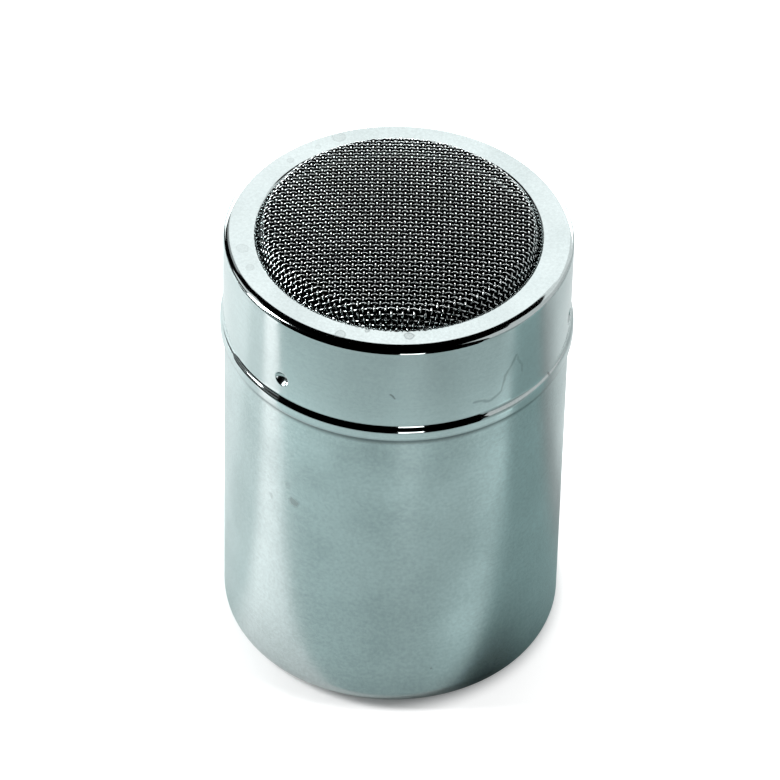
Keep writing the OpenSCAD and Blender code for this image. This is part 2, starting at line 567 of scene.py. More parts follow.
@dataclass(frozen=True)
class Trace:
    """Thin mark along a path: a scratch, or the edge that a dried puddle left.

    Attributes:
        path: Points that it runs through, in millimetres.
        width: Its width.
        strength: How much it shows, up to 1.
    """

    path: tuple[Point, ...]
    width: float
    strength: float

    # Distances from the path, in widths, between which the mark ends.
    END = (0.2, 0.7)

    def lines(self, bench: Bench, place: Socket) -> list[Socket]:
        """Lay out the runs from point to point, each softer towards its edges.

        With t = clamp((p - a) . (b - a) / |b - a|^2), the distance from p to a run from
        a to b is |p - a - t (b - a)|.

        Args:
            bench: Where the nodes go.
            place: Place on the object.

        Returns:
            How strong each run is.
        """
        runs: list[Socket] = []
        low, high = (widths * self.width * MM for widths in self.END)
        for start, end in zip(self.path, self.path[1:]):
            run = tuple(MM * (last - first) for first, last in zip(start, end))
            square = sum(value * value for value in run)
            from_start = bench.vector("SUBTRACT", place, metres(start))
            along = bench.math("DIVIDE", bench.vector("DOT_PRODUCT", from_start, run),
                               square, clamp=True)
            away = bench.vector("DISTANCE", from_start,
                                bench.vector("SCALE", run, along))
            runs.append(bench.ramp(away, low, high, self.strength, 0.0))
        return runs


@dataclass(frozen=True)
class Steel:
    """Finish of bare stainless steel sheet.

    Attributes:
        name: Name of the material.
        tint: Colour of the clean metal.
        cloud_tint: Colour where the polish is cloudy.
        cloud_size: Size of the clouds in metres.
        roughness: Roughness of the clean and of the cloudy metal.
        anisotropy: How much further the lines of the polish spread light upwards.
        line_scale: Lines of the polish per metre along X, Y and Z.
        line_depth: Depth of those lines in metres.
        mottle: How much fine mottling lightens and darkens the colour, up to 1.
        mottle_size: Size of the mottling in metres.
        inner_roughness: Roughness of the inner walls.
        inner_share: How dark painted shade leaves them, up to 1.
        spots: Dried drops.
        smudges: Finger marks and stains, dark inside their radius.
        traces: Scratches and the edges of dried puddles.
        shade_band_z: Heights in millimetres between which painted shade darkens the
            wall next to where another part ends, or nothing.
        shade_band_share: How dark that painted shade gets, up to 1.
        rubbed_z: Bands of height in millimetres whose bends are rubbed smooth.
    """

    name: str
    tint: Colour
    cloud_tint: Colour
    cloud_size: float = 0.014
    roughness: tuple[float, float] = (0.2, 0.26)
    anisotropy: float = 0.0
    line_scale: Point = (90.0, 90.0, 9000.0)
    line_depth: float = 0.000002
    mottle: float = 0.0
    mottle_size: float = 0.0007
    inner_roughness: float = 0.42
    inner_share: float = 0.96
    spots: tuple[Spot, ...] = ()
    smudges: tuple[Spot, ...] = ()
    traces: tuple[Trace, ...] = ()
    shade_band_z: tuple[float, float] | None = None
    shade_band_share: float = 0.9
    rubbed_z: tuple[tuple[float, float], ...] = ()

    # Detail and roughness of the noise that makes clouds and mottling.
    CLOUD_NOISE = (2.0, 0.45)
    MOTTLE_NOISE = (4.0, 0.7)
    # Levels of noise between which clouds, lines and mottling change.
    CLOUD_EDGES = (0.28, 0.72)
    LINE_EDGES = (0.3, 0.8)
    MOTTLE_EDGES = (0.3, 0.7)
    # The lines' colour, and its greatest share.
    LINE_TONE = (0.1, 0.12, 0.12)
    LINE_SHARE = 0.10
    # How marks wander: waves per metre, and twice the furthest they move in metres.
    DROP_WANDER = (380.0, 0.0011)
    SMUDGE_WANDER = (420.0, 0.0022)
    TRACE_WANDER = (420.0, 0.0014)
    # Distances in metres over which a drop's ring fades, and the radii over which its
    # film and a smudge end.
    RING_FADE = (0.00003, 0.00026)
    FILM_END = (0.9, 1.1)
    SMUDGE_END = (0.4, 1.0)
    # Shares of ring and film.
    RING_SHARE = 0.40
    FILM_SHARE = 0.50
    # Brightness of the tint under drops, smudges, the painted shade band and traces.
    DROP_TONE = 0.55
    SMUDGE_TONE = 0.62
    DARK_TONE = 0.3
    # What drops and smudges add to the roughness, and what is left of it when rubbed.
    DROP_ROUGHNESS = 0.25
    SMUDGE_ROUGHNESS = 0.12
    RUBBED_SHARE = 0.4
    # Distance in millimetres over which the rubbing fades.
    RUBBED_FADE = 0.5
    # Turn of the spread of light, from level to upright.
    QUARTER_TURN = 0.25

    def dimmed(self, share: float) -> Colour:
        """Return the tint at a share of its brightness."""
        return tuple(share * part for part in self.tint)

    def drop_marks(self, bench: Bench, place: Socket) -> Socket:
        """Lay out the rings of the dried drops.

        Each mark is a pale film, a smoothstep that ends at the radius, with a ring of
        1 - smoothstep of |distance - radius| over its width, and the place wanders a
        little.

        Args:
            bench: Where the nodes go.
            place: Place on the object.

        Returns:
            How strong the marks are.
        """
        total: Socket | float = 0.0
        wandering = bench.shifted(place, *self.DROP_WANDER)
        for spot in self.spots:
            away = spot.away(bench, wandering)
            off = bench.math("ABSOLUTE", bench.math("SUBTRACT", away, spot.size * MM))
            ring = bench.ramp(off, *self.RING_FADE, self.RING_SHARE * spot.strength, 0.0)
            low, high = (radii * spot.size * MM for radii in self.FILM_END)
            film = bench.ramp(away, low, high, self.FILM_SHARE * spot.strength, 0.0)
            total = bench.math("ADD", total, bench.math("ADD", ring, film), clamp=True)
        return total

    def smudge_marks(self, bench: Bench, place: Socket) -> Socket:
        """Lay out the smudges, each a ragged patch that fades at its edge.

        Args:
            bench: Where the nodes go.
            place: Place on the object.

        Returns:
            How strong the smudges are.
        """
        total: Socket | float = 0.0
        wandering = bench.shifted(place, *self.SMUDGE_WANDER)
        for smudge in self.smudges:
            low, high = (radii * smudge.size * MM for radii in self.SMUDGE_END)
            patch = bench.ramp(smudge.away(bench, wandering), low, high,
                               smudge.strength, 0.0)
            total = bench.math("MAXIMUM", total, patch)
        return total

    def trace_marks(self, bench: Bench, place: Socket) -> Socket:
        """Lay out the traces, straight from point to point but for a small wander.

        Args:
            bench: Where the nodes go.
            place: Place on the object.

        Returns:
            How strong the traces are.
        """
        total: Socket | float = 0.0
        wandering = bench.shifted(place, *self.TRACE_WANDER)
        for trace in self.traces:
            for line in trace.lines(bench, wandering):
                total = bench.math("MAXIMUM", total, line)
        return total

    def rubbed(self, bench: Bench, height: Socket, rough: Socket) -> Socket:
        """Smooth the bands of height that are rubbed.

        Args:
            bench: Where the nodes go.
            height: Height on the object.
            rough: Roughness so far.

        Returns:
            The roughness with the bands in it.
        """
        for low, high in self.rubbed_z:
            above = bench.ramp(height, (low - self.RUBBED_FADE) * MM, low * MM)
            below = bench.ramp(height, high * MM, (high + self.RUBBED_FADE) * MM,
                               1.0, 0.0)
            band = bench.math("MULTIPLY", above, below)
            rough = bench.math("MULTIPLY", rough,
                               bench.ramp(band, 0.0, 1.0, 1.0, self.RUBBED_SHARE))
        return rough

    def clean_metal(self, bench: Bench, place: Socket,
                    lines: Socket) -> tuple[Socket, Socket]:
        """Lay out the metal without its marks.

        Args:
            bench: Where the nodes go.
            place: Place on the object.
            lines: Lines of the polish.

        Returns:
            Its colour and its roughness.
        """
        clouds = bench.ramp(bench.noise(place, 1.0 / self.cloud_size, *self.CLOUD_NOISE),
                            *self.CLOUD_EDGES)
        colour = bench.blend(clouds, self.tint, self.cloud_tint)
        shade = bench.ramp(lines, *self.LINE_EDGES, 0.0, self.LINE_SHARE)
        colour = bench.blend(shade, colour, self.LINE_TONE)
        if self.mottle:
            fine = bench.noise(place, 1.0 / self.mottle_size, *self.MOTTLE_NOISE)
            mottle = bench.ramp(fine, *self.MOTTLE_EDGES, -self.mottle, self.mottle)
            colour = bench.vector("SCALE", colour, bench.math("ADD", mottle, 1.0))
        return colour, bench.ramp(clouds, 0.0, 1.0, *self.roughness)

    def material(self) -> Material:
        """Lay out the finish.

        Returns:
            The material.
        """
        bench = Bench(bpy.data.materials.new(self.name))
        place = bench.object_place()
        lines = bench.noise(bench.vector("MULTIPLY", place, self.line_scale), 1.0, 2.0)
        colour, rough = self.clean_metal(bench, place, lines)
        if self.smudges:
            smudges = self.smudge_marks(bench, place)
            colour = bench.blend(smudges, colour, self.dimmed(self.SMUDGE_TONE))
            rough = bench.math("ADD", rough,
                               bench.math("MULTIPLY", smudges, self.SMUDGE_ROUGHNESS))
        height = bench.node("SeparateXYZ", {0: place}).outputs["Z"]
        rough = self.rubbed(bench, height, rough)
        # Painted shade: a band of height is darkened where the cap meets the canister.
        if self.shade_band_z:
            low, high = (MM * value for value in self.shade_band_z)
            dark = bench.ramp(height, low, high, 0.0, self.shade_band_share)
            colour = bench.blend(dark, colour, self.dimmed(self.DARK_TONE))
        if self.traces:
            colour = bench.blend(self.trace_marks(bench, place), colour,
                                 self.dimmed(self.DARK_TONE))
        if self.spots:
            drops = self.drop_marks(bench, place)
            colour = bench.blend(drops, colour, self.dimmed(self.DROP_TONE))
            rough = bench.math("ADD", rough,
                               bench.math("MULTIPLY", drops, self.DROP_ROUGHNESS))
        # Painted shade: the inner walls' colour is darkened towards black.
        inner = bench.node("Attribute", attribute_name=MARK).outputs["Fac"]
        colour = bench.blend(bench.math("MULTIPLY", inner, self.inner_share), colour,
                             BLACK)
        within = bench.math("MULTIPLY", inner, self.inner_roughness)
        rough = bench.math("MAXIMUM", rough, within, clamp=True)
        shader = metal_shader(bench, colour, rough, lines, self.line_depth, 1.0)
        if self.anisotropy:
            shader.inputs["Anisotropic"].default_value = self.anisotropy
            shader.inputs["Anisotropic Rotation"].default_value = self.QUARTER_TURN
            tangent = bench.node("Tangent", direction_type="RADIAL", axis="Z")
            bench.feed(shader.inputs["Tangent"], tangent.outputs["Tangent"])
        return bench.owner


@dataclass(frozen=True)
class WireSteel:
    """Finish of drawn wire: bright on the crests of the weave, with painted shade below.

    Attributes:
        name: Name of the material.
        lit_crest: Heights above the sheet's middle, in wire diameters, between which
        the wire turns from painted shade to bright.
        tint: Colour of the bright wire.
        dull_tint: The same in duller patches.
        deep_tint: Colour of the wire under painted shade.
        roughness: Roughness of the bright and of the dull wire.
        deep_roughness: Roughness of the wire under painted shade.
        grain: Grains of the surface per metre.
        grain_share: How far the grains fray the edge of the bright wire, in diameters.
    """

    name: str
    lit_crest: tuple[float, float]
    tint: Colour = (0.86, 0.92, 0.92)
    dull_tint: Colour = (0.70, 0.76, 0.76)
    deep_tint: Colour = (0.012, 0.014, 0.015)
    roughness: tuple[float, float] = (0.06, 0.10)
    deep_roughness: float = 0.45
    grain: float = 2400.0
    grain_share: float = 0.06

    # Waves per metre of the patches, and levels of noise between which they change.
    PATCH_SCALE = 110.0
    PATCH_EDGES = (0.35, 0.65)
    GRAIN_DEPTH = 0.000001
    GRAIN_STRENGTH = 0.5

    def material(self) -> Material:
        """Lay out the finish.

        Returns:
            The material.
        """
        bench = Bench(bpy.data.materials.new(self.name))
        place = bench.object_place()
        patches = bench.ramp(bench.noise(place, self.PATCH_SCALE, 3.0), *self.PATCH_EDGES)
        grains = bench.noise(place, self.grain, 2.0)
        crest = bench.node("Attribute", attribute_name=MARK).outputs["Fac"]
        fray = bench.math("MULTIPLY", grains, self.grain_share)
        ragged = bench.math("ADD", crest, fray)
        low, high = (edge + 0.5 * self.grain_share for edge in self.lit_crest)
        lit_crest = bench.ramp(ragged, low, high)
        bright = bench.blend(patches, self.tint, self.dull_tint)
        # Painted shade: below the bright crests the wire's colour falls to near black.
        colour = bench.blend(lit_crest, self.deep_tint, bright)
        rough = bench.ramp(patches, 0.0, 1.0, *self.roughness)
        dull = bench.math("MULTIPLY", bench.math("SUBTRACT", 1.0, lit_crest),
                          self.deep_roughness)
        rough = bench.math("ADD", bench.math("MULTIPLY", rough, lit_crest), dull)
        shader = metal_shader(bench, colour, rough, grains, self.GRAIN_DEPTH,
                              self.GRAIN_STRENGTH)
        # Painted shade also dims the specular tint below the bright crests.
        bench.feed(shader.inputs["Specular Tint"],
                   bench.blend(lit_crest, self.deep_tint, WHITE))
        return bench.owner


# The canister's darkened band from 72.3 to 73.5 mm is painted shade under the cap's rim.
SATIN_CANISTER = Steel(
    name="satin_drawn_steel", tint=(0.56, 0.64, 0.64), cloud_tint=(0.50, 0.58, 0.58),
    cloud_size=0.016, roughness=(0.18, 0.23), anisotropy=0.85, shade_band_z=(72.3, 73.5),
    mottle=0.09,
    smudges=(Spot((-19.4, -28.1, 51.1), 1.7, 0.85), Spot((-20.6, -27.2, 54.6), 1.2, 0.35),
             Spot((-24.0, -24.2, 49.2), 0.9, 0.4), Spot((8.6, -33.0, 10.6), 0.5, 0.6)),
    traces=(Trace(((-6.9, -33.4, 56.6), (-6.0, -33.6, 55.6)), 0.3, 0.35),))
# The cap's darkened band from 74.4 to 75.1 mm is painted shade along the rim's lower
# edge.
POLISHED_CAP = Steel(
    name="polished_cap_steel", tint=(0.58, 0.65, 0.65), cloud_tint=(0.54, 0.61, 0.61),
    roughness=(0.13, 0.18), anisotropy=0.4, line_depth=0.0000008, mottle=0.05,
    shade_band_z=(75.1, 74.4), shade_band_share=0.45, rubbed_z=((75.9, 78.2), (95.9, 98.0)),
    spots=(Spot((2.5, -30.0, 97.4), 0.95, 0.7), Spot((-10.7, -29.9, 97.4), 1.1, 0.6),
           Spot((-5.7, -28.9, 97.4), 0.5, 0.6), Spot((-12.4, 28.9, 97.4), 1.3, 0.5),
           Spot((-21.9, 21.5, 97.4), 0.7, 0.4), Spot((-16.5, 25.8, 97.4), 0.6, 0.3),
           Spot((-30.4, -5.5, 97.4), 1.2, 0.35), Spot((-28.7, -11.1, 97.4), 0.9, 0.35)),
    traces=(Trace(((23.2, -25.4, 89.0), (22.5, -26.0, 87.0), (21.2, -27.1, 84.8),
                   (20.7, -27.5, 81.7), (18.8, -28.8, 80.2), (15.5, -30.7, 81.3)),
                  0.70, 0.42),
            Trace(((23.2, -25.4, 89.0), (24.3, -24.3, 86.0), (24.6, -24.0, 83.7)),
                  0.55, 0.25),
            Trace(((-0.9, -34.4, 85.9), (0.1, -34.4, 84.9)), 0.35, 0.7),
            Trace(((-3.6, -34.2, 90.9), (-2.6, -34.3, 90.5)), 0.25, 0.4),
            Trace(((29.7, -17.3, 77.0), (29.9, -17.0, 76.7)), 0.8, 0.9)))
PLAIN_RING = Steel(
    name="plain_ring_steel", tint=(0.52, 0.58, 0.58), cloud_tint=(0.45, 0.51, 0.51),
    roughness=(0.28, 0.36), cloud_size=0.009)
DRAWN_WARP = WireSteel("drawn_warp_wire", lit_crest=(0.66, 0.84))
DRAWN_WEFT = WireSteel("drawn_weft_wire", lit_crest=(0.28, 0.53))


# --- The shaker ------------------------------------------------------------------------


@dataclass(frozen=True)
class Bayonet:
    """Dimples of the cap and the channels of the neck that they run in.

    Attributes:
        count: Number of dimples and of channels.
        azimuth: Direction of the first one at rest, in degrees from +X.
        height: Height of the dimples above the base.
        lock_turn: Turn from the entry slot to the locked end, clockwise from above.
        axis_r: Distance from the axis to the middle of the ball that presses a dimple.
        ball_r: Radius of that ball.
        lip: How softly a dimple's edge is rounded.
        channel_half: Half the width of a channel.
        channel_depth: Depth of a channel.
        channel_wall: Width over which a channel's side slopes.
        slot_rise: Half the height of an entry slot, which passes the rim.
        reach_ahead: Degrees after a dimple that still belong to its channel.
    """

    count: int = 3
    azimuth: float = 230.0
    height: float = 82.1
    lock_turn: float = 28.0
    axis_r: float = 34.946
    ball_r: float = 1.596
    lip: float = 0.28
    channel_half: float = 2.014
    channel_depth: float = 1.15
    channel_wall: float = 0.7
    slot_rise: float = 60.0
    reach_ahead: float = 40.0

    def azimuths(self) -> list[float]:
        """Return the direction of every dimple, in degrees."""
        turn = 360.0 / self.count
        return [(self.azimuth + i * turn) % 360.0 for i in range(self.count)]

    def from_nearest(self, angles: np.ndarray, reach_back: float) -> np.ndarray:
        """Measure directions from the dimple that they belong to.

        Args:
            angles: Directions in radians.
            reach_back: Degrees before a dimple that still belong to it.

        Returns:
            Degrees from that dimple.
        """
        turn = 360.0 / self.count
        return (np.degrees(angles) - self.azimuth + reach_back) % turn - reach_back

    def dimple_depth(self, angles: np.ndarray, heights: np.ndarray, wall_r: float,
                     grow: float) -> np.ndarray:
        """Work out how far the dimples press a round wall inwards.

        At a distance s from a dimple's middle the ball reaches in to
        axis - sqrt(ball^2 - s^2), and the wall gives way to it by the soft greater of
        that depth and nothing: lip * log(1 + exp(depth / lip)).

        Args:
            angles: Directions in radians.
            heights: Heights of the same points.
            wall_r: Radius of the wall.
            grow: What the sheet adds to the ball on the inner side.

        Returns:
            Depths of the same shape.
        """
        half_turn = 180.0 / self.count
        arc = np.radians(self.from_nearest(angles, half_turn)) * wall_r
        square = (self.ball_r + grow) ** 2 - arc ** 2 - (heights - self.height) ** 2
        depth = wall_r - self.axis_r + np.sqrt(np.maximum(square, 0.0))
        return self.lip * np.logaddexp(0.0, depth / self.lip)

    def channel_share(self, angles: np.ndarray, heights: np.ndarray,
                      wall_r: float) -> np.ndarray:
        """Work out where the channels are pressed in.

        The signed distance to a channel is the lesser of the distances to its upright
        slot and to its level run, and the share falls smoothly from 1 to 0 across it.

        Args:
            angles: Directions in radians.
            heights: Heights of the same points.
            wall_r: Radius of the wall.

        Returns:
            Shares from 0 to 1 of the same shape.
        """
        reach_back = 360.0 / self.count - self.reach_ahead
        arc = np.radians(self.from_nearest(angles, reach_back)) * wall_r
        run = math.radians(self.lock_turn) * wall_r
        half, tall = self.channel_half, self.slot_rise
        rise = heights - self.height
        slot = rounded_box(arc, rise - tall + half, half, tall, 0.5 * half)
        level = rounded_box(arc + 0.5 * run, rise, 0.5 * run + half, half, 0.5 * half)
        distance = np.minimum(slot, level)
        return 1.0 - smoothstep(-0.5, 0.5, distance / self.channel_wall)


def rounded_box(x: np.ndarray, y: np.ndarray, half_x: float, half_y: float,
                corner: float) -> np.ndarray:
    """Signed distance to a box with rounded corners, below 0 inside it.

    With q = |p| - half + corner it is |max(q, 0)| + min(max(qx, qy), 0) - corner.

    Args:
        x: Distance from the box's middle across.
        y: Distance from its middle upwards.
        half_x: Half its width.
        half_y: Half its height.
        corner: Radius of its corners.

    Returns:
        Distances of the same shape.
    """
    qx = np.abs(x) - half_x + corner
    qy = np.abs(y) - half_y + corner
    outside = np.hypot(np.maximum(qx, 0.0), np.maximum(qy, 0.0))
    return outside + np.minimum(np.maximum(qx, qy), 0.0) - corner


@dataclass(frozen=True)
class Canister:
    """Drawn canister: base with a pressed-up panel, wall, taper and bayonet neck.

    Attributes:
        wall_r: Outer radius of the wall.
        wall_top: Height where the taper starts.
        sheet: Thickness of the sheet.
        base_bend: Outer radius of the bend between base and wall.
        panel_r: Radius of the panel in the base.
        panel_rise: Rise of the panel.
        neck_r: Outer radius of the neck.
        neck_z: Height where the taper ends.
        neck_top: Height of the neck's rim.
        curl: Radius of the curl on that rim.
        curl_foot: Depths below the rim, in radii of the curl, where its inner side ends
            and where the plain sheet starts.
        curl_bend: Radius of the bends between them.
        bend: Radius of the bends of the panel and of the inner walls.
        taper_bend: Outer radius of the bends of the taper.
        neck_step: Distance between points on the outside of the neck.
        bayonet: Channels pressed into the neck.
        columns: Number of directions round the axis.
        crowding: Degrees to each side of a channel with more directions, and how many
            times more.
    """

    wall_r: float = 34.1
    wall_top: float = 75.6
    sheet: float = 0.5
    base_bend: float = 4.6
    panel_r: float = 23.0
    panel_rise: float = 0.8
    neck_r: float = 33.55
    neck_z: float = 76.8
    neck_top: float = 93.72
    curl: float = 0.5
    curl_foot: tuple[float, float] = (2.1, 2.7)
    curl_bend: float = 0.3
    bend: float = 0.5
    taper_bend: float = 0.8
    neck_step: float = 0.42
    bayonet: Bayonet = Bayonet()
    columns: int = 480
    crowding: tuple[float, float] = (21.0, 2.2)

    def outline(self) -> tuple[np.ndarray, np.ndarray]:
        """Trace the section, from the base's underside round to its inside.

        Returns:
            The outline, and 1 for each of its points on the inner walls.
        """
        curl_r = self.neck_r - 2 * self.curl
        curl_low, sheet_top = (self.neck_top - depth * self.curl
                               for depth in self.curl_foot)
        step_r = self.panel_r + self.panel_rise
        under = (
            Corner(0.0, self.panel_rise),
            Corner(self.panel_r, self.panel_rise, self.bend),
            Corner(step_r, 0.0, self.bend), Corner(self.wall_r, 0.0, self.base_bend),
            Corner(self.wall_r, self.wall_top, self.taper_bend),
            Corner(self.neck_r, self.neck_z, self.taper_bend, self.neck_step),
            Corner(self.neck_r, self.neck_top, CURL_FILL * self.curl),
            Corner(curl_r, self.neck_top, CURL_FILL * self.curl))
        within = (
            Corner(curl_r, curl_low, self.curl_bend),
            Corner(self.neck_r - self.sheet, sheet_top, self.curl_bend,
                   2 * self.neck_step),
            Corner(self.neck_r - self.sheet, self.neck_z, self.bend),
            Corner(self.wall_r - self.sheet, self.wall_top, self.bend),
            Corner(self.wall_r - self.sheet, self.sheet, self.base_bend - self.sheet),
            Corner(step_r, self.sheet, self.bend),
            Corner(self.panel_r, self.sheet + self.panel_rise, self.bend),
            Corner(0.0, self.sheet + self.panel_rise))
        points = Outline(under + within, closed=False).trace()
        inner = np.arange(len(points)) > int(np.argmax(points[:, 1]))
        return points, inner.astype(float)

    def build(self) -> None:
        """Make the canister's shell, with its channels pressed in, and dress it."""
        outline, inner = self.outline()
        middles = [azimuth - 0.5 * self.bayonet.lock_turn
                   for azimuth in self.bayonet.azimuths()]
        angles = crowded_angles(self.columns, middles, *self.crowding)
        section = np.repeat(outline[:, None], len(angles), axis=1)
        share = self.bayonet.channel_share(angles[None], outline[:, 1:], self.neck_r)
        on_neck = outline[:, 1:] > self.neck_z
        section[..., 0] -= np.where(on_neck, share, 0.0) * self.bayonet.channel_depth
        mesh = sheet_shell("canister_shell", turn_outline(section, angles), False, inner)
        add_piece("canister_shell", mesh, SATIN_CANISTER.material(), Body.CANISTER,
                  Slot.CANISTER, "canister")


@dataclass(frozen=True)
class Cap:
    """Pressed cap: flat top with a turned-down lip, skirt, stepped rim and dimples.

    Attributes:
        low_z: Height of its lower edge.
        top_z: Height of its flat top.
        sheet: Thickness of the sheet.
        skirt_r: Outer radius of the skirt.
        rim_r: Outer radius of the rim.
        rim_h: Height of the rim up to the step.
        rim_edge: Radius of the rim's lower outer corner.
        step_h: Height of the step.
        bend: Outer radius of the corner between top and skirt.
        brow: Outer radius of the wider curve that leads from the top into that corner.
        brow_angle: Slope in degrees at which the wider curve passes into the corner.
        opening_r: Radius of the opening.
        lip: Outer radius of the lip turned down round the opening.
        edge: Radius on the cut edges of the sheet.
        bayonet: Dimples pressed into the skirt.
        dimple_reach: Height above and below a dimple's middle with closer points.
        dimple_steps: Distance between those points, outside and inside.
        wall_step: Distance between points on the wall above them.
        columns: Number of directions round the axis.
        crowding: Degrees to each side of a dimple with more directions, and how many
            times more.
    """

    low_z: float = 74.2
    top_z: float = 97.4
    sheet: float = 0.5
    skirt_r: float = 34.4
    rim_r: float = 35.0
    rim_h: float = 2.0
    rim_edge: float = 0.38
    step_h: float = 1.7
    bend: float = 0.85
    brow: float = 3.6
    brow_angle: float = 25.0
    opening_r: float = 27.6
    lip: float = 1.3
    edge: float = 0.1
    bayonet: Bayonet = Bayonet()
    dimple_reach: float = 2.6
    dimple_steps: tuple[float, float] = (0.13, 0.22)
    wall_step: float = 1.5
    columns: int = 430
    crowding: tuple[float, float] = (4.2, 7.0)

    # Radii of the cut edge that the lip's bend leaves free for it.
    EDGE_ROOM = 1.2

    def skirt(self, inset: float, spacing: float) -> list[Corner]:
        """Lay out the corners from the rim up to the flat top.

        The step is two equal and opposite arcs that meet where the radius is halfway.
        The wider curve and the corner touch the same sloping line at the same point, so
        each one's corner lies on that line at radius * tan(half its turn) from there.

        Args:
            inset: Distance inwards from the outer surface.
            spacing: Distance between points next to the dimples.

        Returns:
            Corners in rising order.
        """
        angle = 2 * math.atan((self.rim_r - self.skirt_r) / self.step_h)
        arc = self.step_h / 2 / math.sin(angle)
        lean = math.tan(angle / 2)
        step_low = self.low_z + self.rim_h
        step_high = step_low + self.step_h
        convex, concave = arc - inset, arc + inset
        wall_r = self.skirt_r - inset
        dimple_z = self.bayonet.height
        slope = math.radians(self.brow_angle)
        flat_r = self.skirt_r - self.bend - (self.brow - self.bend) * math.sin(slope)
        bend, brow = self.bend - inset, self.brow - inset
        brow_r = flat_r + brow * math.tan(slope / 2)
        corner_z = self.top_z - inset - (wall_r - brow_r) * math.tan(slope)
        return [
            Corner(self.rim_r - inset, step_low + convex * lean, convex),
            Corner(wall_r, step_high - concave * lean, concave),
            Corner(wall_r, dimple_z - self.dimple_reach, 0.0, spacing),
            Corner(wall_r, dimple_z + self.dimple_reach, 0.0, self.wall_step),
            Corner(wall_r, corner_z, BEND_FILL * bend),
            Corner(brow_r, self.top_z - inset, BEND_FILL * brow)]

    def outline(self) -> tuple[np.ndarray, np.ndarray]:
        """Trace the section, up the outside, in over the top and down the inside.

        Returns:
            The outline, and 1 for each of its points on the inner walls.
        """
        outer = self.skirt(0.0, self.dimple_steps[0])
        inner = self.skirt(self.sheet, self.dimple_steps[1])[::-1]
        spacing = [corner.spacing for corner in inner[1:]] + [Corner.spacing]
        inner = [Corner(corner.r, corner.z, corner.fillet, follow)
                 for corner, follow in zip(inner, spacing)]
        lip_z = self.top_z - self.lip
        lip_bend = self.lip - self.EDGE_ROOM * self.edge
        lip_back = self.opening_r + self.sheet
        corners = [
            Corner(self.rim_r - self.sheet, self.low_z, self.edge),
            Corner(self.rim_r, self.low_z, self.rim_edge), *outer,
            Corner(self.opening_r, self.top_z, lip_bend),
            Corner(self.opening_r, lip_z, self.edge),
            Corner(lip_back, lip_z, self.edge),
            Corner(lip_back, self.top_z - self.sheet, lip_bend - self.sheet),
            *inner]
        points = Outline(corners, closed=True).trace()
        first = int(np.argmin(np.hypot(points[:, 0] - self.opening_r,
                                       points[:, 1] - lip_z)))
        return points, (np.arange(len(points)) > first).astype(float)

    def build(self) -> None:
        """Make the cap's shell, with its dimples pressed in, and dress it."""
        outline, inner = self.outline()
        angles = crowded_angles(self.columns, self.bayonet.azimuths(), *self.crowding)
        section = np.repeat(outline[:, None], len(angles), axis=1)
        outside, within = (
            self.bayonet.dimple_depth(angles[None], outline[:, 1:],
                                      self.skirt_r - inset, inset)
            for inset in (0.0, self.sheet))
        section[..., 0] -= np.where(inner[:, None] > 0.5, within, outside)
        mesh = sheet_shell("cap_shell", turn_outline(section, angles), True, inner)
        add_piece("cap_shell", mesh, POLISHED_CAP.material(), Body.CAP, Slot.CAP, "cap")


@dataclass(frozen=True)
class ClampingRing:
    """Ring that clamps the edge of the woven dome from below.

    Attributes:
        outer_r: Outer radius of the flange.
        inner_r: Radius of the ring's opening.
        low_z: Height of the flange's underside.
        sheet: Thickness of the flange.
        curl: Radius of the curl on the inner edge.
        curl_back: Radius of its end, in radii of the curl.
        edges: Radii of the flange's lower and upper outer edges, and of the bend where
            it meets the curl.
        columns: Number of directions round the axis.
    """

    outer_r: float = 33.6
    inner_r: float = 27.556
    low_z: float = 94.02
    sheet: float = 0.6
    curl: float = 0.7
    curl_back: float = 0.8
    edges: tuple[float, float, float] = (0.2, 0.25, 0.15)
    columns: int = 240

    def build(self) -> None:
        """Make the ring and dress it."""
        top = self.low_z + self.sheet
        foot = top - 2 * self.curl
        behind = self.inner_r + 2 * self.curl
        low_edge, top_edge, meeting = self.edges
        corners = [
            Corner(self.outer_r, self.low_z, low_edge),
            Corner(self.outer_r, top, top_edge),
            Corner(self.inner_r, top, CURL_FILL * self.curl),
            Corner(self.inner_r, foot, CURL_FILL * self.curl),
            Corner(behind, foot, self.curl_back * self.curl),
            Corner(behind, self.low_z, meeting)]
        outline = Outline(corners, closed=True).trace()
        angles = np.linspace(0.0, 2 * math.pi, self.columns, endpoint=False)
        surface = turn_outline(outline, angles)
        mesh = sheet_shell("clamp_ring", surface, True, np.zeros(len(outline)))
        add_piece("clamp_ring", mesh, PLAIN_RING.material(), Body.CLAMP, Slot.RING,
                  "clamping_ring")


class Weave(Enum):
    """The two sets of wires in the woven dome."""

    WARP = "warp_wires"
    WEFT = "weft_wires"


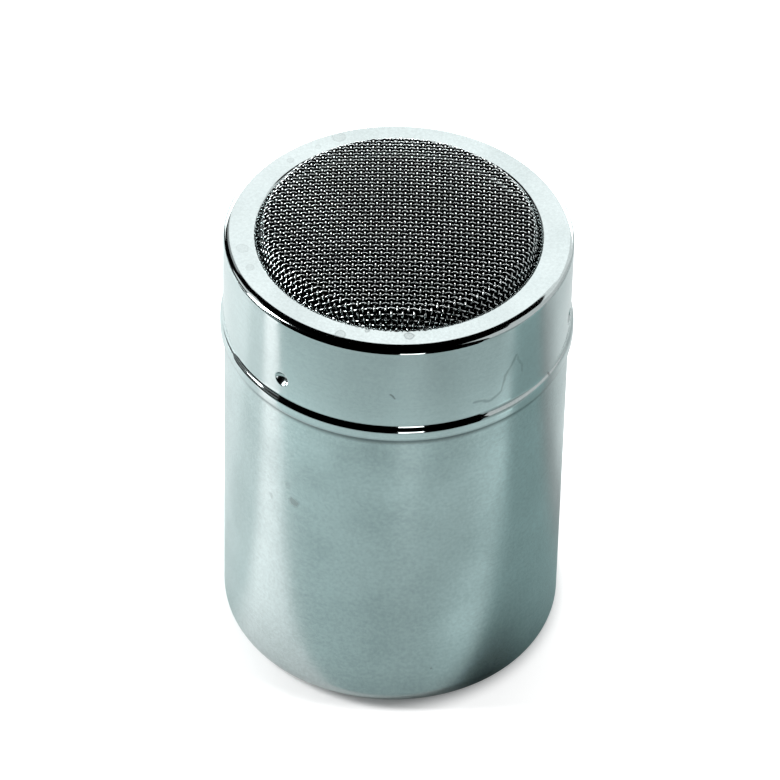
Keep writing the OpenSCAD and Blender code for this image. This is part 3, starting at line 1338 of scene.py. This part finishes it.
@dataclass(frozen=True)
class WovenDome:
    """Plain weave of round wires, pressed into a shallow dome.

    Attributes:
        pitch: Distance between neighbouring wires along the sheet.
        wire_d: Diameter of a wire.
        end_r: Distance from the axis at which every wire is cut off.
        flat_z: Height of the sheet's middle where it is clamped.
        foot_axis_r: Distance from the axis to the middle of the foot bend.
        foot_bend: Radius of the foot bend.
        slope: Angle of the side wall, in degrees.
        shoulder_axis: Radius and height of the middle of the shoulder bend.
        shoulder_bend: Radius of the shoulder bend.
        crown: Rise of the crown above the shoulder.
        proud: How far the sheet's middle stands out from the section given above.
        front_lit: How much further down, in wire diameters, the wires are painted
            bright on the front of the side wall, as painted light.
        front_lit_rise: How far inside the foot bend's axis that is fully reached.
        margin: How far inside the cut edge the outermost wire lies.
        steps: Rings of points between one crossing and the next.
        sides: Points round a wire.
    """

    pitch: float = 1.1
    wire_d: float = 0.36
    end_r: float = 29.1
    flat_z: float = 95.46
    foot_axis_r: float = 27.70
    foot_bend: float = 0.65
    slope: float = 76.0
    shoulder_axis: tuple[float, float] = (24.81, 98.4)
    shoulder_bend: float = 1.6
    crown: float = 1.8
    proud: float = 0.15
    front_lit: float = 0.34
    front_lit_rise: float = 1.5
    margin: float = 1.0
    steps: int = 4
    sides: int = 8

    # Points along the crown, the shoulder and the foot of the traced section.
    CROWN_POINTS = 400
    SHOULDER_POINTS = 80
    FOOT_POINTS = 60

    def section(self) -> np.ndarray:
        """Trace the sheet's section from the middle of the dome outwards.

        It is a crown that rises as 1 - (r / crown radius)^2, a shoulder bend, a straight
        side wall, a foot bend and a flat.

        Returns:
            Radius and height of points close together, (n, 2).
        """
        slope = math.radians(self.slope)
        axis_r, axis_z = self.shoulder_axis
        crown_angle = math.atan(2 * self.crown / axis_r)
        crown_r = axis_r + self.shoulder_bend * math.sin(crown_angle)
        crown_z = axis_z + self.shoulder_bend * math.cos(crown_angle)
        across = np.linspace(0.0, crown_r, self.CROWN_POINTS)
        rise = self.crown * (1 - (across / crown_r) ** 2)
        crown = np.column_stack((across, crown_z + rise))
        lean = np.linspace(crown_angle, slope, self.SHOULDER_POINTS)[1:]
        shoulder = np.column_stack((axis_r + self.shoulder_bend * np.sin(lean),
                                    axis_z + self.shoulder_bend * np.cos(lean)))
        lean = np.linspace(slope, 0.0, self.FOOT_POINTS)
        foot = np.column_stack((self.foot_axis_r - self.foot_bend * np.sin(lean),
                                self.flat_z + self.foot_bend * (1 - np.cos(lean))))
        end = np.array(((self.end_r, self.flat_z),))
        return np.concatenate((crown, shoulder, foot, end))

    def place(self, u: np.ndarray, v: np.ndarray) -> tuple[np.ndarray, np.ndarray]:
        """Carry points of the flat sheet onto the dome.

        A point keeps its direction from the middle, and its distance from the middle is
        measured along the section. The normal is (-dz, dr) of the section there, and the
        point stands out along it by the same amount everywhere.

        Args:
            u: Places on the flat sheet along X.
            v: Places along Y.

        Returns:
            Points and outward normals, (n, 3) each.
        """
        section = self.section()
        run = np.diff(section, axis=0)
        length = np.concatenate(([0.0], np.cumsum(np.hypot(*run.T))))
        slopes = np.gradient(section, length, axis=0)
        away = np.hypot(u, v)
        r, z = (np.interp(away, length, section[:, k]) for k in (0, 1))
        dr, dz = (np.interp(away, length, slopes[:, k]) for k in (0, 1))
        x, y = (side / np.maximum(away, TINY) for side in (u, v))
        normal = np.stack((-dz * x, -dz * y, dr), axis=-1)
        normal /= np.linalg.norm(normal, axis=1, keepdims=True)
        return np.stack((r * x, r * y, z), axis=-1) + self.proud * normal, normal

    def reach(self) -> float:
        """Return the distance along the section from the middle to the cut edge."""
        return float(np.hypot(*np.diff(self.section(), axis=0).T).sum())

    def wire(self, index: int, side: float) -> tuple[np.ndarray, np.ndarray, np.ndarray]:
        """Run one wire along Y over the dome and carry a circle along it.

        The middle line swings by half the diameter about the sheet's middle, along its
        normal, as side * cos(pi * (index + v / pitch)). With t along that line,
        b = t x normal and n = b x t, the points are line + radius (b cos a + n sin a).

        Args:
            index: Which wire, counted from the middle one.
            side: 1 where the wire goes over at even crossings, -1 where it goes under.

        Returns:
            Points (rings, sides, 3), the middle line (rings, 3), and how high each
            point stands above the sheet's middle, in wire diameters.
        """
        offset = index * self.pitch
        half = math.sqrt(self.reach() ** 2 - offset ** 2)
        count = int(half * self.steps / self.pitch)
        v = np.arange(-count, count + 1) * self.pitch / self.steps
        middle, normal = self.place(np.full_like(v, offset), v)
        swing = 0.5 * side * np.cos(math.pi * (index + v / self.pitch))
        line = middle + self.wire_d * swing[:, None] * normal
        ahead = np.gradient(line, axis=0)
        ahead /= np.linalg.norm(ahead, axis=1, keepdims=True)
        across = np.cross(ahead, normal)
        across /= np.linalg.norm(across, axis=1, keepdims=True)
        above = np.cross(across, ahead)
        angle = np.linspace(0.0, 2 * math.pi, self.sides, endpoint=False)[None, :, None]
        circle = 0.5 * (across[:, None] * np.cos(angle) + above[:, None] * np.sin(angle))
        crest = swing[:, None] + (circle * normal[:, None]).sum(axis=-1)
        return line[:, None] + self.wire_d * circle, line, crest

    def extra_lit(self, line: np.ndarray) -> np.ndarray:
        """Work out how much further down a wire is painted bright by light from the
        front.

        It is front_lit on the side wall, after a smoothstep over the shoulder, times
        how squarely the wall faces the front.

        Args:
            line: The wire's middle line, (rings, 3).

        Returns:
            Wire diameters, one for each ring.
        """
        away = np.maximum(np.hypot(line[:, 0], line[:, 1]), TINY)
        wall = smoothstep(self.shoulder_axis[0], self.foot_axis_r - self.front_lit_rise,
                          away)
        return self.front_lit * wall * np.clip(-line[:, 1] / away, 0.0, 1.0)

    def wires(self, weave: Weave) -> Mesh:
        """Make one set of wires, each closed at both ends.

        Args:
            weave: Which set.

        Returns:
            The mesh.
        """
        last = int((self.reach() - self.margin) / self.pitch)
        side = -1.0 if weave is Weave.WARP else 1.0
        points: list[np.ndarray] = []
        marks: list[np.ndarray] = []
        faces: list[list[int]] = []
        base = 0
        ring = np.arange(self.sides)
        for index in range(-last, last + 1):
            tube, line, crest = self.wire(index, side)
            if weave is Weave.WEFT:
                tube = tube[..., [1, 0, 2]][:, ::-1]
                crest = crest[:, ::-1]
                line = line[:, [1, 0, 2]]
            rings = len(tube)
            quads = grid_faces(rings, self.sides, False)[:, ::-1]
            ends = (rings - 1) * self.sides
            low, high = rings * self.sides, rings * self.sides + 1
            lower = np.column_stack((np.full(self.sides, low), ring, np.roll(ring, -1)))
            upper = np.column_stack((ends + np.roll(ring, -1), ends + ring,
                                     np.full(self.sides, high)))
            for part in (quads, lower, upper):
                faces += (part + base).tolist()
            points += [tube.reshape(-1, 3), line[:1], line[-1:]]
            # Painted light: on the front wall the bright crests reach further down.
            marks += [(crest + self.extra_lit(line)[:, None]).ravel(), np.zeros(2)]
            base += rings * self.sides + 2
        return mesh_from_faces(weave.value + "_woven", np.concatenate(points), faces,
                               np.concatenate(marks))

    def build(self) -> None:
        """Make both sets of wires and dress them."""
        for weave, finish in ((Weave.WARP, DRAWN_WARP), (Weave.WEFT, DRAWN_WEFT)):
            add_piece(weave.value + "_woven", self.wires(weave), finish.material(),
                      Body.CAP, Slot.WIRE, weave.value)


# --- Studio ----------------------------------------------------------------------------

# Points that the lamps face, in metres.
AT_CAP: Point = (0.0, 0.0, 0.097)
AT_CANISTER: Point = (0.0, 0.0, 0.05)


def add_stage(name: str, mesh: Mesh, finish: Material) -> bpy.types.Object:
    """Put a floor or a card into the scene, which isn't part of the shaker.

    Args:
        name: Name of the object.
        mesh: Its mesh, already in place.
        finish: Its material, which isn't sampled as a lamp.

    Returns:
        The object.
    """
    finish.cycles.emission_sampling = "NONE"
    mesh.materials.append(finish)
    stage = link_object(name, mesh)
    return stage


@dataclass(frozen=True)
class Softbox:
    """Rectangular lamp that faces a point.

    Attributes:
        name: Name of the lamp.
        place: Where it hangs, in metres.
        aim: Point that it faces.
        width: Its width.
        height: Its height.
        level: Brightness of its face, where 1 shows as white.
    """

    name: str
    place: Point
    aim: Point
    width: float
    height: float
    level: float

    def hang(self) -> None:
        """Put the lamp into the scene: its power is level * pi * width * height."""
        lamp = bpy.data.lights.new(self.name, "AREA")
        lamp.shape = "RECTANGLE"
        lamp.size, lamp.size_y = self.width, self.height
        lamp.energy = self.level * math.pi * self.width * self.height
        holder = link_object(self.name, lamp)
        facing = (Vector(self.aim) - Vector(self.place)).to_track_quat("-Z", "Y")
        holder.matrix_world = Matrix.Translation(self.place) @ facing.to_matrix().to_4x4()
        holder.visible_camera = False


@dataclass(frozen=True)
class Card:
    """Card bent round the shaker as part of a ball, which only reflections show.

    Attributes:
        name: Name of the card.
        radius: Its distance from the middle of the cap's top, in metres.
        azimuths: Directions of its two ends, in degrees from +X.
        elevations: Heights of its two edges, in degrees above the cap's top.
        level: Brightness of its face, where 1 is white.
        middle_z: Height of the middle of the cap's top, in metres.
        step: Least number of degrees between points.
    """

    name: str
    radius: float
    azimuths: tuple[float, float]
    elevations: tuple[float, float]
    level: float = 0.0
    middle_z: float = 0.0974
    step: float = 4.0

    def hang(self) -> None:
        """Put the card into the scene.

        Its points are radius (cos e cos a, cos e sin a, sin e) from the middle of the
        cap's top, with a and e from edge to edge.
        """
        across, upward = (max(2, int(abs(high - low) / self.step))
                          for low, high in (self.azimuths, self.elevations))
        a = np.radians(np.linspace(*self.azimuths, across + 1))[None]
        e = np.radians(np.linspace(*self.elevations, upward + 1))[:, None]
        grid = np.stack((np.cos(e) * np.cos(a), np.cos(e) * np.sin(a),
                         np.sin(e) * np.ones_like(a)), axis=-1)
        points = (self.radius * grid + (0.0, 0.0, self.middle_z)) / MM
        faces = grid_faces(upward + 1, across + 1, False, False)[:, [0, 3, 2, 1]]
        mesh = mesh_from_faces(self.name, points.reshape(-1, 3), faces.tolist())
        bench = Bench(bpy.data.materials.new(self.name))
        bench.node("OutputMaterial", {"Surface": bench.glow(self.level)})
        card = add_stage(self.name, mesh, bench.owner)
        for rays in ("camera", "diffuse", "shadow", "transmission"):
            setattr(card, "visible_" + rays, False)


@dataclass(frozen=True)
class Fade:
    """Smooth change of a value with a distance.

    Attributes:
        start: Distance in metres where the change starts.
        end: Distance where it ends.
        before: Value up to its start.
        after: Value from its end.
    """

    start: float
    end: float
    before: float = 0.0
    after: float = 1.0

    def at(self, bench: Bench, distance: Socket) -> Socket:
        """Return the value at a distance."""
        return bench.ramp(distance, self.start, self.end, self.before, self.after)


@dataclass(frozen=True)
class FloorFinish:
    """Matt pale floor, which shows another colour in the reflections on metal.

    That colour is a painted reflection: a painted shadow of the shaker, painted shade
    by its base and painted light in front of it.

    Distances are in metres from the axis, to the right across the floor and to the
    back along it.

    Attributes:
        white: Colour to the camera and to other surfaces.
        lift: What the floor adds to its own light for the camera, from under the
            shaker's edge outwards.
        lift_middle: Where the distances of that change are taken from.
        sheen: Colour of the lit floor beside the shaker, in reflections.
        far_sheen: The same level with the shaker.
        back_sheen: The same further back.
        shade_tone: The same on the right, in the shaker's painted shadow.
        far_along: Along the floor, share of far_sheen.
        back_along: Along the floor, share of back_sheen.
        shade_across: Across the floor, share of the shadow.
        shade_along: Along the floor, share of the shadow.
        core_along: Along the floor, share of the shadow's darkest part.
        core_depth: How much darker that part is right beside the base.
        foot_along: Along the floor, brightness of the painted shade right beside the
            base.
        foot_r: Distance from the axis up to which that holds.
        foot_reach: Across the floor, distance from the axis where it ends.
        front_tone: Colour in front of the shaker, in reflections.
        front_line: Distance in front of the axis where that part starts.
        front_blur: Half the width of its edge.
        front_waves: Waves of that edge per metre, and how far they carry it.
        corner_across: Across the front, share of its right side, brightened by painted
            light.
        corner_along: Along the front, what that side adds to the brightness.
        far_corner: Across the front, what its far right adds to the brightness.
        front_away: Away from the axis, factors of the front's brightness.
    """

    white: Colour = (0.93, 0.93, 0.93)
    lift: Fade = Fade(0.0366, 0.0430, 0.06, 0.72)
    lift_middle: Point = (-0.0056, 0.0044, 0.0)
    sheen: Colour = (1.14, 1.14, 1.14)
    far_sheen: Colour = (0.67, 0.74, 0.74)
    back_sheen: Colour = (0.82, 0.88, 0.88)
    shade_tone: Colour = (0.64, 0.88, 0.88)
    far_along: Fade = Fade(-0.018, -0.004)
    back_along: Fade = Fade(0.012, 0.034)
    shade_across: Fade = Fade(0.008, 0.024)
    shade_along: Fade = Fade(0.004, 0.028, 1.0, 0.0)
    core_along: Fade = Fade(-0.030, -0.016, 1.0, 0.0)
    core_depth: float = 0.50
    foot_along: Fade = Fade(-0.022, -0.004, 0.62, 0.86)
    foot_r: float = 0.034
    foot_reach: Fade = Fade(-0.010, 0.020, 0.052, 0.060)
    front_tone: Colour = (0.52, 0.63, 0.63)
    front_line: float = 0.0338
    front_blur: float = 0.0015
    front_waves: tuple[float, float] = (40.0, 0.004)
    corner_across: Fade = Fade(0.004, 0.03)
    corner_along: Fade = Fade(-0.062, -0.041, 0.0, 0.55)
    far_corner: Fade = Fade(0.055, 0.095, 0.0, 0.20)
    front_away: tuple[Fade, ...] = (
        Fade(0.034, 0.048, 0.80, 1.0), Fade(0.090, 0.106, 1.0, 1.38),
        Fade(0.106, 0.126, 1.0, 0.65))

    def beside(self, bench: Bench, away: Socket, across: Socket, along: Socket) -> Socket:
        """Lay out the mirrored colour beside and behind the shaker.

        It is bright, with painted shade close to the base, most of all on the right, in
        the painted shadow.

        Args:
            bench: Where the nodes go.
            away: Distance from the axis.
            across: Distance to the right.
            along: Distance to the back.

        Returns:
            The colour.
        """
        tone = bench.blend(self.far_along.at(bench, along), self.sheen, self.far_sheen)
        tone = bench.blend(self.back_along.at(bench, along), tone, self.back_sheen)
        side = self.shade_across.at(bench, across)
        shade = bench.math("MULTIPLY", side, self.shade_along.at(bench, along))
        tone = bench.blend(shade, tone, self.shade_tone)
        core = bench.math("MULTIPLY", side, self.core_along.at(bench, along))
        foot = bench.math("ADD", bench.math("MULTIPLY", core, -self.core_depth),
                          self.foot_along.at(bench, along))
        reach = self.foot_reach.at(bench, across)
        close = bench.ramp(away, self.foot_r, reach, foot, 1.0)
        return bench.vector("SCALE", tone, close)

    def in_front(self, bench: Bench, away: Socket, across: Socket,
                 along: Socket) -> Socket:
        """Lay out the mirrored colour in front of the shaker.

        It is grey, with painted light on the right, and fades towards the camera.

        Args:
            bench: Where the nodes go.
            away: Distance from the axis.
            across: Distance to the right.
            along: Distance to the back.

        Returns:
            The colour.
        """
        corner = bench.math("MULTIPLY", self.corner_across.at(bench, across),
                            self.corner_along.at(bench, along))
        corner = bench.math("ADD", corner, self.far_corner.at(bench, across))
        tone = bench.vector("SCALE", self.front_tone, bench.math("ADD", corner, 1.0))
        rise: Socket | float = 1.0
        for fade in self.front_away:
            rise = bench.math("MULTIPLY", rise, fade.at(bench, away))
        return bench.vector("SCALE", tone, rise)

    def mirrored(self, bench: Bench, place: Socket) -> Socket:
        """Lay out the floor's colour as metal mirrors it.

        Args:
            bench: Where the nodes go.
            place: Place on the floor.

        Returns:
            The colour.
        """
        axes = bench.node("SeparateXYZ", {0: place})
        across, along = axes.outputs["X"], axes.outputs["Y"]
        away = bench.vector("DISTANCE", place, (0.0, 0.0, 0.0))
        waves, reach = self.front_waves
        wander = bench.math("MULTIPLY", bench.noise(place, waves, 2.0), reach)
        line, blur = -self.front_line, self.front_blur
        edge = Fade(line - blur, line + blur)
        return bench.blend(edge.at(bench, bench.math("ADD", along, wander)),
                           self.in_front(bench, away, across, along),
                           self.beside(bench, away, across, along))

    def material(self) -> Material:
        """Lay out the finish.

        Returns:
            The material.
        """
        bench = Bench(bpy.data.materials.new("pale_floor"))
        place = bench.object_place()
        rays = bench.node("LightPath").outputs
        mirrored = self.mirrored(bench, place)
        # Glossy rays see the painted reflection, with its painted shadow, shade and
        # light.
        colour = bench.blend(rays["Is Glossy Ray"], self.white, mirrored)
        matt = bench.node("BsdfDiffuse", {"Color": colour})
        away = bench.vector("DISTANCE", place, self.lift_middle)
        lift = bench.math("MULTIPLY", rays["Is Camera Ray"], self.lift.at(bench, away))
        both = bench.node("AddShader", {0: matt.outputs["BSDF"], 1: bench.glow(lift)})
        bench.node("OutputMaterial", {"Surface": both.outputs["Shader"]})
        return bench.owner


@dataclass(frozen=True)
class Studio:
    """Floor, surroundings, lamps and cards.

    Attributes:
        floor_half: Half the floor's width, in metres.
        floor_z: Height of the floor, just clear of the base.
        floor: Finish of the floor.
        ambient: Brightness of the surroundings as a light.
        lamps: Lamps that light the shaker.
        cards: Cards that its metal mirrors.
    """

    floor_half: float = 1.5
    floor_z: float = -0.00002
    floor: FloorFinish = FloorFinish()
    ambient: float = 0.22
    lamps: tuple[Softbox, ...] = (
        Softbox("back_softbox", (0.0, 0.843, 0.804), AT_CAP, 1.12, 0.37, 0.47),
        Softbox("back_sweep", (0.0, 1.2, 0.36), AT_CAP, 2.0, 0.70, 2.2),
        Softbox("left_key", (-0.52, 0.0, 0.37), AT_CANISTER, 0.16, 0.42, 19.0),
        Softbox("back_strip", (0.0, 1.2, 0.60), AT_CAP, 1.3, 0.14, 5.0),
        Softbox("left_softbox", (-0.62, 0.143, 0.58), AT_CAP, 0.46, 0.44, 1.0),
        Softbox("front_strip", (0.024, -0.156, 0.05), AT_CANISTER, 0.036, 0.042, 4.0))
    cards: tuple[Card, ...] = (
        Card("black_ceiling", 2.0, (38.0, 325.0), (49.0, 90.0)),
        Card("black_ceiling_right", 2.0, (-35.0, 38.0), (60.0, 90.0)),
        Card("black_curtain_high", 2.4, (196.0, 325.0), (-6.0, 52.0)),
        Card("black_curtain_low", 0.20, (204.0, 318.0), (-29.0, 25.0)),
        Card("dark_wall_left", 2.2, (115.0, 200.0), (-14.0, 61.0)),
        Card("grey_band_left", 2.1, (145.0, 205.0), (-12.0, 12.0), 0.20),
        Card("black_skirting_left", 0.20, (166.0, 206.0), (-29.0, -12.0)),
        Card("grey_wall_right", 2.5, (-35.0, 40.0), (-2.0, 61.0), 0.72))

    def lay_floor(self) -> None:
        """Lay the floor under the shaker."""
        half, low = self.floor_half / MM, self.floor_z / MM
        points = np.array([(x, y, low) for x, y in (
            (-half, -half), (half, -half), (half, half), (-half, half))])
        mesh = mesh_from_faces("floor", points, [[0, 1, 2, 3]])
        add_stage("floor", mesh, self.floor.material())

    def light_world(self) -> None:
        """Make the surroundings white to look at, and plain pale light otherwise."""
        world = bpy.data.worlds.new("studio")
        bpy.context.scene.world = world
        bench = Bench(world)
        rays = bench.node("LightPath").outputs
        seen = rays["Is Camera Ray"]
        for name in ("Is Glossy Ray", "Is Transmission Ray"):
            seen = bench.math("MAXIMUM", seen, rays[name])
        light, look = (bench.node("Background", {"Color": bench.rgba(WHITE),
                                                 "Strength": level}).outputs[0]
                       for level in (self.ambient, 1.0))
        mix = bench.node("MixShader", {0: seen, 1: light, 2: look})
        bench.node("OutputWorld", {"Surface": mix.outputs[0]})

    def build(self) -> None:
        """Set up floor, surroundings, lamps and cards."""
        self.lay_floor()
        self.light_world()
        for thing in self.lamps + self.cards:
            thing.hang()


@dataclass(frozen=True)
class Viewpoint:
    """Camera.

    Attributes:
        lens: Focal length in millimetres.
        sensor: Width of the sensor in millimetres.
        clip: Nearest and furthest distance that shows, in metres.
        place: Where the camera stands, in millimetres.
        tilt: How far it looks down, in degrees.
        roll: How far it is turned about its own axis, in degrees.
    """

    lens: float = 281.65
    sensor: float = 36.0
    clip: tuple[float, float] = (0.05, 20.0)
    place: Point = (-1.0, -903.7, 875.9)
    tilt: float = 42.215
    roll: float = 1.397

    def build(self) -> None:
        """Set up the camera, which looks along +Y and down."""
        tilt, roll = math.radians(self.tilt), math.radians(self.roll)
        right = Vector((1.0, 0.0, 0.0))
        upward = Vector((0.0, math.sin(tilt), math.cos(tilt)))
        backward = Vector((0.0, -math.cos(tilt), math.sin(tilt)))
        across = math.cos(roll) * right + math.sin(roll) * upward
        above = -math.sin(roll) * right + math.cos(roll) * upward
        turn = Matrix((across, above, backward)).transposed().to_4x4()
        data = bpy.data.cameras.new("camera")
        data.sensor_width, data.lens = self.sensor, self.lens
        data.clip_start, data.clip_end = self.clip
        camera = link_object("camera", data)
        camera.matrix_world = Matrix.Translation(Vector(self.place) * MM) @ turn
        bpy.context.scene.camera = camera


def main() -> None:
    """Build the shaker piece by piece, then the studio and the camera."""
    logging.basicConfig(level=logging.INFO, format="%(name)s: %(message)s")
    for part in (Canister(), Cap(), ClampingRing(), WovenDome(), Studio(), Viewpoint()):
        part.build()
        LOG.info("%s done", type(part).__name__)
    bpy.context.scene.view_settings.view_transform = "Standard"


if __name__ == "__main__":
    main()
